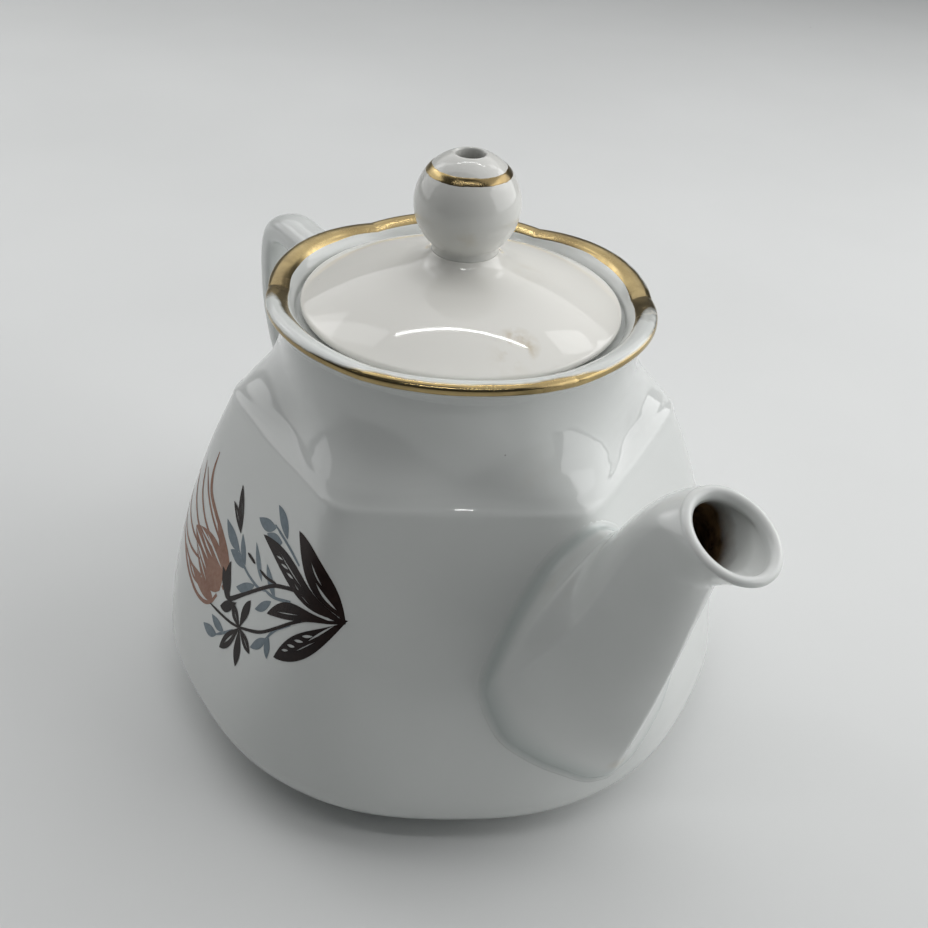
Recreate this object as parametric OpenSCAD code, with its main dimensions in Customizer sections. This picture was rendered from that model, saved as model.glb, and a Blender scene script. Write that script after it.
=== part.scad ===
// Porcelain teapot on a six-sided plan: flared body with a scalloped gilt rim, a keeled
// pouring spout on one corner, a strap handle on the opposite corner and a lift-off lid
// with a hollow ball knob. Millimetres. The spout points along +X, the pot stands on z = 0.

/* [Pot body] */

// Height of the white rim under its gilding
rim_height = 115; // [110:0.5:118]

// Radius of the round neck under the rim
neck_radius = 43; // [42:0.25:44]

// Radius of the shoulder at the six corners
shoulder_radius = 57.5; // [56:0.5:59]

// Height of the shoulder ridge
shoulder_height = 85; // [82:0.5:88]

// Largest radius, low on the body
belly_radius = 76.8; // [74:0.2:79]

// Height of the largest radius
belly_height = 17; // [14:0.5:20]

// Radius of the outside of the foot ring
foot_radius = 50; // [44:0.5:56]

// Wall thickness of the body
wall = 4; // [3.2:0.1:4.4]

/* [Rim] */

// Radius of the rim at the middle of each lobe
lobe_radius = 47.5; // [47:0.1:48]

// Radius of the rim at the six cusps
cusp_radius = 46.2; // [45.6:0.1:46.6]

// Height of the lip
lip_height = 4.5; // [3.5:0.1:5.5]

// Width of the gilding over the top of the rim
gilding_width = 4.6; // [3:0.1:5]

// Thickness of the gilding and of the flower films
film = 0.3; // [0.2:0.05:0.5]

/* [Spout] */

// Distance of the mouth centre from the pot axis
mouth_reach = 95.9; // [92:0.1:99]

// Height of the mouth centre
mouth_height = 106.3; // [103:0.1:109]

// Outward tilt of the mouth
mouth_tilt = 23; // [15:1:30]

// Half length of the mouth outline
mouth_half_length = 11.7; // [11:0.1:13]

// Half width of the mouth outline
mouth_half_width = 10; // [9.5:0.1:11]

// Wall thickness of the spout
spout_wall = 2.9; // [2.4:0.1:3.4]

// Diameter of each strainer hole behind the spout
strainer_hole = 4.6; // [3:0.1:5.5]

/* [Handle] */

// Width of the handle strap
handle_width = 12.5; // [10:0.5:15]

// Thickness of the handle strap
handle_thickness = 7; // [5.5:0.25:8]

/* [Lid] */

// Radius of the lid disc
lid_radius = 38.8; // [38:0.1:39.6]

// Thickness of the lid at its edge
lid_edge = 2.8; // [2.4:0.1:3.2]

// Depth of the locating collar under the lid
collar_depth = 11; // [8:0.5:14]

// Radius of the ball knob
knob_radius = 12.5; // [11.5:0.1:13.5]

// Radius of the vent hole in the top of the knob
vent_radius = 3.5; // [2.5:0.1:4]

/* [Hidden] */

$fn = 96;
e = 0.01;
sides = 6;
porcelain = [0.86, 0.88, 0.87];
lid_white = [0.9, 0.89, 0.85];
gold = [0.72, 0.55, 0.25];
leaf_black = [0.16, 0.12, 0.11];

// Panel radii: the distance of the six side planes from the axis.
shoulder_flat = shoulder_radius * cos(30) + 0.2;
belly_flat = belly_radius - 1.3;
ledge_flat = 45;
ledge_height = shoulder_height + 5;
neck_height = shoulder_height + 15;
flare_bulge = [70.5 / 76.8 * belly_radius, 0.43 * shoulder_height + 8.5];
foot_height = 3;
base_thickness = 4.5;

// Lid seat inside the rim.
seat_height = rim_height - lip_height;
seat_radius = lid_radius + 1.1;
well_radius = 34.6;
collar_radius = well_radius - 0.9;
collar_wall = 2.8;
bore_radius = lobe_radius + film - gilding_width - 0.6;

lid_bottom = seat_height;
lid_top = lid_bottom + lid_edge;
lid_rise = 12.5;
knob_neck_radius = 8;
knob_height = rim_height + 22.1;
knob_wall = 3;

function bezier(a, b, c, n) = [for (i = [0 : n])
    let (t = i / n) (1 - t) * (1 - t) * a + 2 * t * (1 - t) * b + t * t * c];

// A quarter ellipse about a centre, from angle a to angle b.
function sweep(centre, rx, ry, a, b, n) = [for (i = [0 : n])
    let (t = a + (b - a) * i / n) centre + [rx * cos(t), ry * sin(t)]];

// ---- body -------------------------------------------------------------------------

// Right-hand outline of the body from the foot to the neck, grown outward by d.
function flare(d) = concat(
    sweep([foot_radius, belly_height], belly_radius - foot_radius + d, belly_height + d,
          -90, 0, 7),
    bezier([belly_radius + d, belly_height + 0.01], flare_bulge + [d, 0],
           [shoulder_radius + d, shoulder_height], 10),
    bezier([shoulder_radius - 0.5 + d, shoulder_height + 0.9 + d / 2],
           [neck_radius + 5 + d, shoulder_height + 9],
           [neck_radius + d, neck_height + 4], 7));

// Six-sided envelope that cuts the flat panels and the shoulder ledge, grown by d.
module panels(d) {
    levels = [[0, belly_flat + 6.3], [belly_height, belly_flat],
              [shoulder_height, shoulder_flat], [ledge_height, ledge_flat],
              [neck_height, neck_radius + 0.4], [neck_height + 12, neck_radius + 0.4]];
    for (i = [0 : len(levels) - 2])
        translate([0, 0, levels[i][0]])
            cylinder(h = levels[i + 1][0] - levels[i][0], $fn = sides,
                     r1 = (levels[i][1] + d) / cos(30), r2 = (levels[i + 1][1] + d) / cos(30));
}

// Solid of the body up to the underside of the lip, grown outward by d.
module body_solid(d) {
    intersection() {
        rotate_extrude()
            polygon(concat([[0, -d]], flare(d), [[0, neck_height + 4]]));
        translate([0, 0, -d]) panels(d);
    }
    translate([0, 0, neck_height + 3.9])
        cylinder(h = rim_height - lip_height - neck_height - 3.9, r = neck_radius + d);
}

// The six-lobed outline of the rim, moved outward by d.
module lobes(d) {
    span = (lobe_radius * lobe_radius - 2 * lobe_radius * cusp_radius * cos(30)
            + cusp_radius * cusp_radius) / (2 * (lobe_radius - cusp_radius * cos(30)));
    for (i = [0 : sides - 1])
        rotate(30 + 60 * i) translate([lobe_radius - span, 0]) circle(r = span + d);
}

module lip() {
    flare_out = 3.4;
    intersection() {
        translate([0, 0, seat_height - 4]) linear_extrude(lip_height + 4) lobes(-film);
        rotate_extrude()
            polygon([[0, seat_height - 4], [neck_radius, seat_height - 4],
                     [neck_radius + 1.2, seat_height - 0.4],
                     [lobe_radius, seat_height + flare_out - 1.4], [lobe_radius, rim_height],
                     [0, rim_height]]);
    }
}

// Space inside the pot, from the floor to the seat of the lid.
module pot_space() {
    intersection() {
        rotate_extrude()
            polygon(concat([[0, base_thickness]],
                [for (p = flare(-wall)) [p[0], max(p[1], base_thickness)]],
                [[0, neck_height + 4]]));
        union() {
            panels(-wall);
            cylinder(h = e + base_thickness, r = neck_radius);
        }
    }
    translate([0, 0, neck_height]) cylinder(h = 20, r = well_radius);
    translate([0, 0, seat_height]) cylinder(h = 20, r = seat_radius);
    translate([0, 0, rim_height - 1.5]) cylinder(h = 1.5 + e, r1 = seat_radius, r2 = bore_radius);
}

module strainer() {
    for (row = [0 : 3], i = [0 : 2])
        let (y = (i - 1) * 8 + (row % 2 == 0 ? 0 : 4))
            if (y < 9)
                translate([40, y, 38 + row * 7])
                    rotate([0, 90, 0]) cylinder(h = 50, d = strainer_hole, $fn = 24);
}

module pot_body() {
    color(porcelain)
    difference() {
        union() {
            body_solid(0);
            lip();
        }
        pot_space();
        strainer();
        translate([0, 0, -e]) cylinder(h = foot_height + e, r = foot_radius - 4);
    }
}

// ---- spout ------------------------------------------------------------------------

// One level section of the spout: rounded at the back, widest at the side ridges and
// narrowing to a keel in front. Given as [height, back, ridge, keel, half width].
function spout_levels() = [
    [19, 50, 70, 76.5, 3],
    [30, 50, 69, 80, 20],
    [36, 50, 65.5, 82, 24.5],
    [47, 48, 62, 85, 26.5],
    [66, 50, 70, 89.5, 16.5],
    [84, 64.5, 76.5, 92.2, 12.5]];

module spout_section(level, inset) {
    back = level[1];
    ridge = level[2];
    keel = level[3] - inset;
    half = max(level[4] - inset * 1.2, 1);
    translate([0, 0, level[0]])
        linear_extrude(e)
            polygon([[back + inset, -half * 0.55], [ridge, -half], [keel - 4, -half * 0.3],
                     [keel - 1, -half * 0.12], [keel - 1, half * 0.12], [keel - 4, half * 0.3],
                     [ridge, half], [back + inset, half * 0.55]]);
}

// An elliptical section square to the spout, tilted outward. tilt 0 is level.
module spout_ring(x, z, tilt, half_length, half_width) {
    translate([x, 0, z]) rotate([0, tilt, 0])
        linear_extrude(e)
            polygon([for (t = [0 : 15 : 345]) [half_length * cos(t), half_width * sin(t)]]);
}

module spout_outside() {
    levels = spout_levels();
    for (i = [0 : len(levels) - 2])
        hull() {
            spout_section(levels[i], 0);
            spout_section(levels[i + 1], 0);
        }
    hull() {
        spout_section(levels[5], 0);
        spout_ring(84.5, 97, 14, 9.8, 9.6);
    }
    hull() {
        spout_ring(84.5, 97, 14, 9.8, 9.6);
        spout_ring(mouth_reach, mouth_height, mouth_tilt, mouth_half_length, mouth_half_width);
    }
}

module spout_channel() {
    levels = spout_levels();
    hull() {
        spout_section(levels[1], spout_wall + 1.5);
        spout_section(levels[2], spout_wall + 1.5);
    }
    hull() {
        spout_section(levels[2], spout_wall + 1.5);
        spout_section(levels[3], spout_wall + 1.5);
    }
    hull() {
        spout_section(levels[3], spout_wall + 1.5);
        spout_section(levels[4], spout_wall);
    }
    hull() {
        spout_section(levels[4], spout_wall);
        spout_section(levels[5], spout_wall);
    }
    hull() {
        spout_section(levels[5], spout_wall);
        spout_ring(84.8, 97.2, 14, 6.9, 6.7);
    }
    hull() {
        spout_ring(84.8, 97.2, 14, 6.9, 6.7);
        spout_ring(mouth_reach + 0.2, mouth_height + 0.2, mouth_tilt,
                   mouth_half_length - spout_wall, mouth_half_width - spout_wall);
    }
}

module spout() {
    color(porcelain)
    difference() {
        spout_outside();
        body_solid(0);
        spout_channel();
    }
}

// ---- handle -----------------------------------------------------------------------

// Outer edge of the strap in the plane of the handle: x away from the axis, z up.
handle_line = concat(
    [[40, 98.6]],
    bezier([80, 98.6], [107, 98.6], [109.3, 83], 8),
    bezier([109.8, 79], [112.5, 50], [91, 38], 10),
    bezier([88.5, 36.6], [80, 31.8], [62, 29.5], 4));

// The same line moved square to itself by d, towards the inside of the bend.
function moved_in(line, d) = [for (i = [0 : len(line) - 1])
    let (ahead = line[min(i + 1, len(line) - 1)], behind = line[max(i - 1, 0)],
         run = ahead - behind)
        line[i] + d / norm(run) * [run[1], -run[0]]];

module handle() {
    inner = moved_in(handle_line, handle_thickness);
    color(porcelain)
    difference() {
        rotate([0, 0, 180]) rotate([90, 0, 0])
            linear_extrude(handle_width, center = true)
                polygon(concat(handle_line, [for (i = [len(inner) - 1 : -1 : 0]) inner[i]]));
        body_solid(0);
    }
}

// ---- lid --------------------------------------------------------------------------

module lid() {
    dome = bezier([lid_radius, lid_top], [lid_radius - 13, lid_top + 5.2],
                  [15, lid_top + lid_rise - 4.2], 8);
    swell = bezier([14.6, lid_top + lid_rise - 4], [9.5, lid_top + lid_rise - 2],
                   [knob_neck_radius, lid_top + lid_rise], 4);
    under = bezier([10, lid_bottom + 7.6], [24, lid_bottom + 5.5],
                   [collar_radius - collar_wall, lid_bottom], 5);
    color(lid_white)
    rotate_extrude()
        polygon(concat([[lid_radius - 0.6, lid_bottom], [lid_radius, lid_bottom + 0.6]], dome,
                       swell, [[vent_radius, lid_top + lid_rise], [vent_radius, lid_bottom + 8]],
                       under,
                       [[collar_radius - collar_wall, lid_bottom - collar_depth],
                        [collar_radius - 0.8, lid_bottom - collar_depth],
                        [collar_radius, lid_bottom - collar_depth + 0.8],
                        [collar_radius, lid_bottom]]));
}

module lid_knob() {
    color(lid_white)
    difference() {
        union() {
            translate([0, 0, knob_height]) sphere(r = knob_radius);
            translate([0, 0, lid_top + lid_rise])
                cylinder(h = 4, r = knob_neck_radius);
        }
        translate([0, 0, knob_height]) sphere(r = knob_radius - knob_wall);
        translate([0, 0, knob_height - 2 * knob_radius])
            cylinder(h = 4 * knob_radius, r = vent_radius);
        translate([0, 0, lid_top + lid_rise - 10]) cylinder(h = 10, r = 2 * knob_radius);
        knob_band(1);
    }
}

// The gilt line round the upper half of the knob, standing proud of the ball by `proud`.
module knob_band(proud) {
    low = asin(7.6 / knob_radius);
    high = asin(9.2 / knob_radius);
    inner = knob_radius - film;
    outer = knob_radius + proud;
    translate([0, 0, knob_height])
        rotate_extrude()
            polygon([inner * [cos(low), sin(low)], outer * [cos(low), sin(low)],
                     outer * [cos(high), sin(high)], inner * [cos(high), sin(high)]]);
}

// ---- gilding ----------------------------------------------------------------------

module rim_gilding() {
    skirt = 2.3;
    color(gold)
    difference() {
        translate([0, 0, rim_height - skirt]) linear_extrude(skirt + film) lobes(0);
        translate([0, 0, rim_height - skirt - e]) linear_extrude(skirt + e) lobes(-film);
        translate([0, 0, rim_height - 1]) cylinder(h = 3, r = bore_radius);
    }
}

module knob_gilding() {
    color(gold) knob_band(0.1);
}

// ---- flower transfers -------------------------------------------------------------

// A pointed leaf from its root, given its length, width and direction.
module leaf(at, length, width, angle) {
    translate(at) rotate(angle) translate([length / 2, 0])
        polygon([for (t = [0 : 30 : 330])
            [length / 2 * cos(t), width / 2 * sin(t) * abs(sin(t))]]);
}

// A thin stem from one point to another.
module stem(from, to) {
    run = to - from;
    translate(from) rotate(atan2(run[1], run[0])) translate([0, -0.45]) square([norm(run), 0.9]);
}

// The motif laid flat: along the panel, up the panel.
module motif() {
    spray = [38.6, 61.2];
    star = [11.5, 44.5];
    tulip = [-3.5, 43];
    for (l = [[23, 6, 143], [31.5, 6.5, 170], [20, 4.5, 199], [19, 6, 229]])
        leaf(spray, l[0], l[1], l[2]);
    for (i = [0 : 5]) leaf(star, 6.8, 2.8, 60 * i + 20);
    for (l = [[35, 8, 125], [33, 9, 138], [31, 8, 151]]) leaf(tulip, l[0], l[1], l[2]);
    leaf([-1.5, 61.5], 11, 2.6, 122);
    stem(spray, star);
    stem(star, tulip);
    stem(star, [-1, 62]);
}

module transfer(side) {
    color(leaf_black)
    intersection() {
        difference() {
            body_solid(film);
            body_solid(0);
        }
        rotate(side > 0 ? 180 : 0)
            translate([0, -30, 0]) rotate([90, 0, 0]) linear_extrude(70) motif();
    }
}

module flower_transfer_front() {
    transfer(-1);
}

module flower_transfer_back() {
    transfer(1);
}

// ---- selection --------------------------------------------------------------------

pot_body();
spout();
handle();
lid();
lid_knob();
rim_gilding();
knob_gilding();
flower_transfer_front();
flower_transfer_back();
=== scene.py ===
"""Visual model of a six-sided porcelain teapot with a gilt scalloped rim, built on its CAD frame.

Lengths in the modelling functions are millimetres in the CAD frame; mesh_object() turns them
into metres. Azimuths are radians, the spout is at 0 and the handle at pi.
"""

import math

import bpy
import bmesh
import numpy as np
from mathutils import Matrix, Vector
from mathutils.geometry import delaunay_2d_cdt


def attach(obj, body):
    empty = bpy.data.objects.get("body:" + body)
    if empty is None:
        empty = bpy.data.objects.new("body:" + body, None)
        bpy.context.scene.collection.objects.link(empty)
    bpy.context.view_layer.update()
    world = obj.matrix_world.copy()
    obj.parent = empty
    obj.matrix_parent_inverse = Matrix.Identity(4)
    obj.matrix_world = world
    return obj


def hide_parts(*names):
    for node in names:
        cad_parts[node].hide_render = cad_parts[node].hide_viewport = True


MM = 0.001
TURN = 2 * math.pi
SIDES = 6

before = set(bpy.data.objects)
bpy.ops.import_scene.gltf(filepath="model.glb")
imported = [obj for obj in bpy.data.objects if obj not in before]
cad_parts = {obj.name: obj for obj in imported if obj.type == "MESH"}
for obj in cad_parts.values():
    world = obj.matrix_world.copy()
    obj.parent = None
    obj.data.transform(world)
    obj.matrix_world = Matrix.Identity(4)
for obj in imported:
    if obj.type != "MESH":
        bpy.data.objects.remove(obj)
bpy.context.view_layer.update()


# ---- curves -------------------------------------------------------------------------

def hermite(t, first, last, start, end):
    """A cubic from first to last that leaves with the slope start and arrives with end."""
    return ((2 * t ** 3 - 3 * t ** 2 + 1) * first + (t ** 3 - 2 * t ** 2 + t) * start
            + (3 * t ** 2 - 2 * t ** 3) * last + (t ** 3 - t ** 2) * end)


def smooth_curve(knots, values):
    """A monotone cubic through (knots, values), returned as a function of the knot."""
    x = np.asarray(knots, float)
    y = np.asarray(values, float)
    step = np.diff(x)
    slope = np.diff(y, axis=0) / step.reshape((-1,) + (1,) * (y.ndim - 1))
    product = slope[:-1] * slope[1:]
    total = slope[:-1] + slope[1:]
    inner = np.where(product > 0, 2 * product / np.where(total == 0, 1, total), 0)
    tangent = np.concatenate([slope[:1], inner, slope[-1:]])

    def at(where):
        where = np.asarray(where, float)
        i = np.clip(np.searchsorted(x, where, side="right") - 1, 0, len(x) - 2)
        shape = where.shape + (1,) * (y.ndim - 1)
        h = step[i].reshape(shape)
        t = ((where - x[i]) / step[i]).reshape(shape)
        return hermite(t, y[i], y[i + 1], h * tangent[i], h * tangent[i + 1])
    return at


def through(points, count):
    """A smooth line of `count` points through the given ones, spaced by their distances."""
    points = np.asarray(points, float)
    reach = np.concatenate([[0], np.cumsum(np.linalg.norm(np.diff(points, axis=0), axis=1))])
    padded = np.vstack([2 * points[0] - points[1], points, 2 * points[-1] - points[-2]])
    spaced = np.concatenate([[-reach[1]], reach, [2 * reach[-1] - reach[-2]]])
    where = np.linspace(0, reach[-1], count)
    i = np.clip(np.searchsorted(reach, where, side="right") - 1, 0, len(points) - 2) + 1
    gap = (spaced[i + 1] - spaced[i])[:, None]
    t = (where - spaced[i])[:, None] / gap
    start = (padded[i + 1] - padded[i - 1]) / (spaced[i + 1] - spaced[i - 1])[:, None] * gap
    end = (padded[i + 2] - padded[i]) / (spaced[i + 2] - spaced[i])[:, None] * gap
    return hermite(t, padded[i], padded[i + 1], start, end)


def bend(a, b, c, count):
    """Quadratic curve from a to c pulled towards b."""
    a, b, c = (np.asarray(p, float) for p in (a, b, c))
    t = np.linspace(0, 1, count).reshape((-1,) + (1,) * a.ndim)
    return (1 - t) ** 2 * a + 2 * t * (1 - t) * b + t * t * c


def arc(centre, radius, start, end, count):
    """Points of a circle in the (r, z) plane between two angles in degrees."""
    angle = np.radians(np.linspace(start, end, count))
    return np.stack([centre[0] + radius * np.cos(angle), centre[1] + radius * np.sin(angle)], -1)


# ---- meshes -------------------------------------------------------------------------

def mesh_object(name, points, faces, material):
    """A smooth-shaded object from points in millimetres, with its faces turned outward."""
    mesh = bpy.data.meshes.new(name)
    mesh.from_pydata((np.asarray(points) * MM).tolist(), [], faces)
    build = bmesh.new()
    build.from_mesh(mesh)
    bmesh.ops.recalc_face_normals(build, faces=build.faces)
    build.to_mesh(mesh)
    build.free()
    mesh.materials.append(material)
    mesh.polygons.foreach_set("use_smooth", [True] * len(mesh.polygons))
    obj = bpy.data.objects.new(name, mesh)
    bpy.context.scene.collection.objects.link(obj)
    return obj


def loft(name, rings, material, closed=False):
    """A skin over rings of points, either closed on itself or capped flat at both ends."""
    rings = np.asarray(rings, float)
    rows, columns = rings.shape[:2]
    row = np.arange(rows if closed else rows - 1)[:, None]
    column = np.arange(columns)[None, :]
    following = (row + 1) % rows
    beside = (column + 1) % columns
    quads = np.stack([row * columns + column, row * columns + beside,
                      following * columns + beside, following * columns + column], -1)
    faces = quads.reshape(-1, 4).tolist()
    if not closed:
        faces.append(list(range(columns))[::-1])
        faces.append([(rows - 1) * columns + c for c in range(columns)])
    return mesh_object(name, rings.reshape(-1, 3), faces, material)


def polar(radius, azimuth, z):
    """Points from radii, azimuths and heights."""
    radius, azimuth, z = np.broadcast_arrays(radius, azimuth, z)
    return np.stack([radius * np.cos(azimuth), radius * np.sin(azimuth), z], -1)


def lathe(name, profile, material, count):
    """A closed profile of (r, z) points turned about the pot's axis."""
    profile = np.asarray(profile, float)
    azimuth = np.linspace(0, TURN, count, endpoint=False)[None, :]
    return loft(name, polar(profile[:, :1], azimuth, profile[:, 1:]), material, closed=True)


# ---- shader graphs ------------------------------------------------------------------

class Graph:
    """A material's node tree; add() makes a node, sets it up and returns it."""

    def __init__(self, name):
        self.material = bpy.data.materials.new(name)
        self.material.use_nodes = True
        self.tree = self.material.node_tree
        self.tree.nodes.clear()
        self.place = self.add("ShaderNodeTexCoord").outputs["Object"]

    def add(self, kind, feeds=None, **settings):
        node = self.tree.nodes.new(kind)
        for key, value in settings.items():
            setattr(node, key, value)
        for key, value in (feeds or {}).items():
            if isinstance(value, bpy.types.NodeSocket):
                self.tree.links.new(value, node.inputs[key])
            else:
                node.inputs[key].default_value = value
        return node

    def math(self, operation, first, second):
        return self.add("ShaderNodeMath", {0: first, 1: second}, operation=operation).outputs[0]

    def noise(self, scale, detail):
        return self.add("ShaderNodeTexNoise", {"Vector": self.place, "Scale": scale,
                                               "Detail": detail}).outputs[0]

    def ramp(self, value, low, high, start=0.0, end=1.0):
        """Maps low..high to start..end and stays there outside it."""
        return self.add("ShaderNodeMapRange", {"Value": value, "From Min": low, "From Max": high,
                                               "To Min": start, "To Max": end},
                        clamp=True).outputs[0]

    def mix(self, factor, first, second):
        node = self.add("ShaderNodeMix", {0: factor, 6: first, 7: second}, data_type="RGBA")
        return node.outputs[2]

    def nearness(self, centre, radius):
        """1 at a point, falling to 0 at `radius` millimetres from it."""
        spot = [c * MM for c in centre]
        gap = self.add("ShaderNodeVectorMath", {0: self.place, 1: spot}, operation="DISTANCE")
        return self.ramp(gap.outputs["Value"], 0, radius * MM, 1.0, 0.0)

    def attribute(self, name):
        """A value that the mesh carries at its points."""
        return self.add("ShaderNodeAttribute", attribute_name=name).outputs["Fac"]

    def specks(self, scale, size, share):
        """Sparse round dots: `share` of the cells of a Voronoi pattern hold one."""
        cells = self.add("ShaderNodeTexVoronoi", {"Vector": self.place, "Scale": scale})
        dot = self.ramp(cells.outputs["Distance"], size * 0.5, size, 1.0, 0.0)
        chosen = self.add("ShaderNodeSeparateColor", {"Color": cells.outputs["Color"]})
        return self.math("MULTIPLY", dot, self.math("LESS_THAN", chosen.outputs[0], share))

    def bump(self, height, depth):
        return self.add("ShaderNodeBump", {"Height": height, "Distance": depth * MM,
                                           "Strength": 1.0}).outputs[0]

    def principled(self, **feeds):
        named = {key.replace("_", " "): value for key, value in feeds.items()}
        return self.add("ShaderNodeBsdfPrincipled", named).outputs[0]

    def finish(self, shader):
        output = self.add("ShaderNodeOutputMaterial")
        self.tree.links.new(shader, output.inputs["Surface"])
        return self.material


def rgb(red, green, blue):
    return (red, green, blue, 1.0)


def set_point_values(obj, name, values):
    """Stores one number for each point of a mesh, for its material to read."""
    layer = obj.data.attributes.new(name, "FLOAT", "POINT")
    layer.data.foreach_set("value", values)


# ---- materials ----------------------------------------------------------------------

POT_WHITE = rgb(0.695, 0.71, 0.695)
POT_SHADE = rgb(0.645, 0.665, 0.65)
LID_WHITE = rgb(0.80, 0.79, 0.745)
LID_SHADE = rgb(0.755, 0.745, 0.70)
# The knob's two tones sit below the lid's: painted shade that darkens the whole knob to match its
# dim front.
KNOB_WHITE_PAINTED_SHADE = rgb(0.69, 0.69, 0.66)
KNOB_TONE_PAINTED_SHADE = rgb(0.65, 0.65, 0.62)
POOLED_GLAZE = rgb(0.43, 0.49, 0.475)
BARE_CLAY = rgb(0.62, 0.58, 0.51)
STAIN = rgb(0.42, 0.32, 0.15)
PIT = rgb(0.10, 0.085, 0.07)
TEA_LIGHT = rgb(0.20, 0.12, 0.06)
TEA_DARK = rgb(0.06, 0.036, 0.02)
GOLD_LIGHT = rgb(0.52, 0.40, 0.19)
GOLD_DARK = rgb(0.25, 0.185, 0.09)
RUBBED_WHITE = rgb(0.70, 0.72, 0.70)
GLAZE_RIPPLE = 0.06
GOLD_RIPPLE = 0.03

# Stains: place in millimetres, radius, strength.
BODY_STAINS = [((66, -29, 52), 6, 0.12), ((46, -8, 93), 8, 0.08)]
SPOUT_STAINS = [((78, 0, 24), 4, 0.5), ((62, -14, 76), 8, 0.12)]
LID_STAINS = [((30.8, -5.0, 116.8), 5.5, 1.7), ((33.4, -8.6, 115.2), 6, 0.4),
              ((10, 12, 122.5), 5, 0.3)]
KNOB_STAINS = [((11.0, 0.6, 137.0), 0.9, 3.0), ((9.6, -6.4, 133), 4, 0.3)]


def glaze(graph, base):
    """Glossy porcelain glaze over a base colour, with the ripple of a hand-cast pot."""
    wave = graph.math("ADD", graph.noise(16, 2), graph.math("MULTIPLY", graph.noise(70, 2), 0.12))
    smear = graph.ramp(graph.noise(30, 4), 0.35, 0.75, 0.03, 0.07)
    return graph.principled(Base_Color=base, Roughness=smear, IOR=1.52,
                            Normal=graph.bump(wave, GLAZE_RIPPLE))


def porcelain_colour(graph, light, shade, stains):
    """White ware with a drifting tone, a few pits and the listed stains."""
    drift = graph.ramp(graph.noise(14, 5), 0.3, 0.7)
    base = graph.mix(drift, light, shade)
    cloud = graph.ramp(graph.noise(220, 6), 0.42, 0.72)
    for centre, radius, strength in stains:
        spot = graph.math("MULTIPLY", graph.nearness(centre, radius), cloud)
        base = graph.mix(graph.math("MULTIPLY", spot, strength), base, STAIN)
    pits = graph.math("MULTIPLY", graph.specks(95, 0.022, 0.10), 0.55)
    return graph.mix(pits, base, PIT)


def porcelain(name, light, shade, stains=()):
    graph = Graph(name)
    return graph.finish(glaze(graph, porcelain_colour(graph, light, shade, stains)))


def body_porcelain():
    """The body's glaze, left bare and rougher on the foot ring it stands on."""
    graph = Graph("body_porcelain")
    base = porcelain_colour(graph, POT_WHITE, POT_SHADE, BODY_STAINS)
    height = graph.add("ShaderNodeSeparateXYZ", {"Vector": graph.place}).outputs["Z"]
    bare = graph.ramp(height, 0.3 * MM, 0.9 * MM, 1.0, 0.0)
    glazed = glaze(graph, base)
    clay = graph.principled(Base_Color=BARE_CLAY, Roughness=0.85)
    return graph.finish(graph.add("ShaderNodeMixShader", {0: bare, 1: glazed, 2: clay}).outputs[0])


def spout_porcelain():
    """The spout's glaze: blue-green where it pools at the root, browned by tea in the mouth."""
    graph = Graph("spout_porcelain")
    base = porcelain_colour(graph, POT_WHITE, POT_SHADE, SPOUT_STAINS)
    base = graph.mix(graph.attribute("pool"), base, POOLED_GLAZE)
    drift = graph.ramp(graph.noise(130, 5), 0.3, 0.7, -0.12, 0.12)
    depth = graph.math("ADD", graph.attribute("inside"), drift)
    tea = graph.mix(graph.ramp(graph.noise(420, 4), 0.35, 0.7), TEA_LIGHT, TEA_DARK)
    base = graph.mix(graph.ramp(depth, 0.50, 0.9), base, tea)
    return graph.finish(glaze(graph, base))


def gold(name):
    """Gold lustre that lets the porcelain through where the mesh's "worn" value says so."""
    graph = Graph(name)
    streak = graph.ramp(graph.noise(60, 5), 0.3, 0.7)
    colour = graph.mix(streak, GOLD_LIGHT, GOLD_DARK)
    rough = graph.ramp(graph.noise(240, 4), 0.3, 0.75, 0.12, 0.34)
    shine = graph.principled(Base_Color=colour, Metallic=1.0, Roughness=rough,
                             Normal=graph.bump(graph.noise(90, 3), GOLD_RIPPLE))
    bare = glaze(graph, RUBBED_WHITE)
    ragged = graph.ramp(graph.noise(150, 6), 0.25, 0.75, -0.22, 0.22)
    rubbed = graph.ramp(graph.math("ADD", graph.attribute("worn"), ragged), 0.3, 0.75)
    return graph.finish(graph.add("ShaderNodeMixShader", {0: rubbed, 1: shine, 2: bare}).outputs[0])


def print_colour(name, deep, light):
    """One colour of the flower transfer, slightly uneven as screen-printed overglaze is."""
    graph = Graph(name)
    grain = graph.ramp(graph.noise(900, 4), 0.35, 0.75)
    broad = graph.ramp(graph.noise(120, 3), 0.35, 0.7)
    base = graph.mix(graph.math("MULTIPLY", graph.math("ADD", grain, broad), 0.5), deep, light)
    return graph.finish(graph.principled(Base_Color=base, Roughness=0.25, Specular_IOR_Level=0.18))


# ---- pot body -----------------------------------------------------------------------

WALL = 4.0
FOOT_RADIUS = 50.0
FOOT_RECESS = 3.0
FLOOR_HEIGHT = 4.5
FLOOR_RADIUS = 52.0
BELLY_HEIGHT = 17.0
INNER_BELLY_HEIGHT = 18.0
NECK_TOP = 110.0
SHARPNESS = 36.0
RIDGE_HEIGHT = 83.0
LEDGE_TOP = 91.5

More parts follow.
